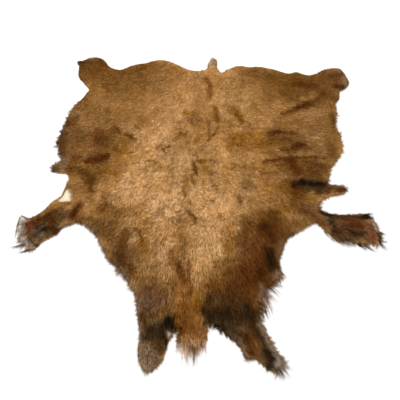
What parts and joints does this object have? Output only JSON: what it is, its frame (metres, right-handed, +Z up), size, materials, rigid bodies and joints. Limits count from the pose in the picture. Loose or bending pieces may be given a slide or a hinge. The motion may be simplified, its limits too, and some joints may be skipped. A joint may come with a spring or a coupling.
{
  "type": "bison hide rug, fur side up",
  "caption": "Whole tanned bison hide laid flat fur side up, with forelegs, cheeks, forelock and tail stub, as a rug or throw.",
  "frame": {"origin": "bottom centre of the bounding box: the point of the floor under the middle of the hide", "axes": "+Z up out of the fur, +Y towards the tail end, -Y towards the neck end, +X to the right seen from above"},
  "size_m": [2.3696, 2.221, 0.0613],
  "materials": {
    "fur": "dense woolly fur, caramel tan down the back, dark brown at the sides, forelegs and neck",
    "skin": "cream tanned leather, matt and slightly napped"
  },
  "bodies": {
    "root": {"hide": "fur"}
  },
  "joints": []
}
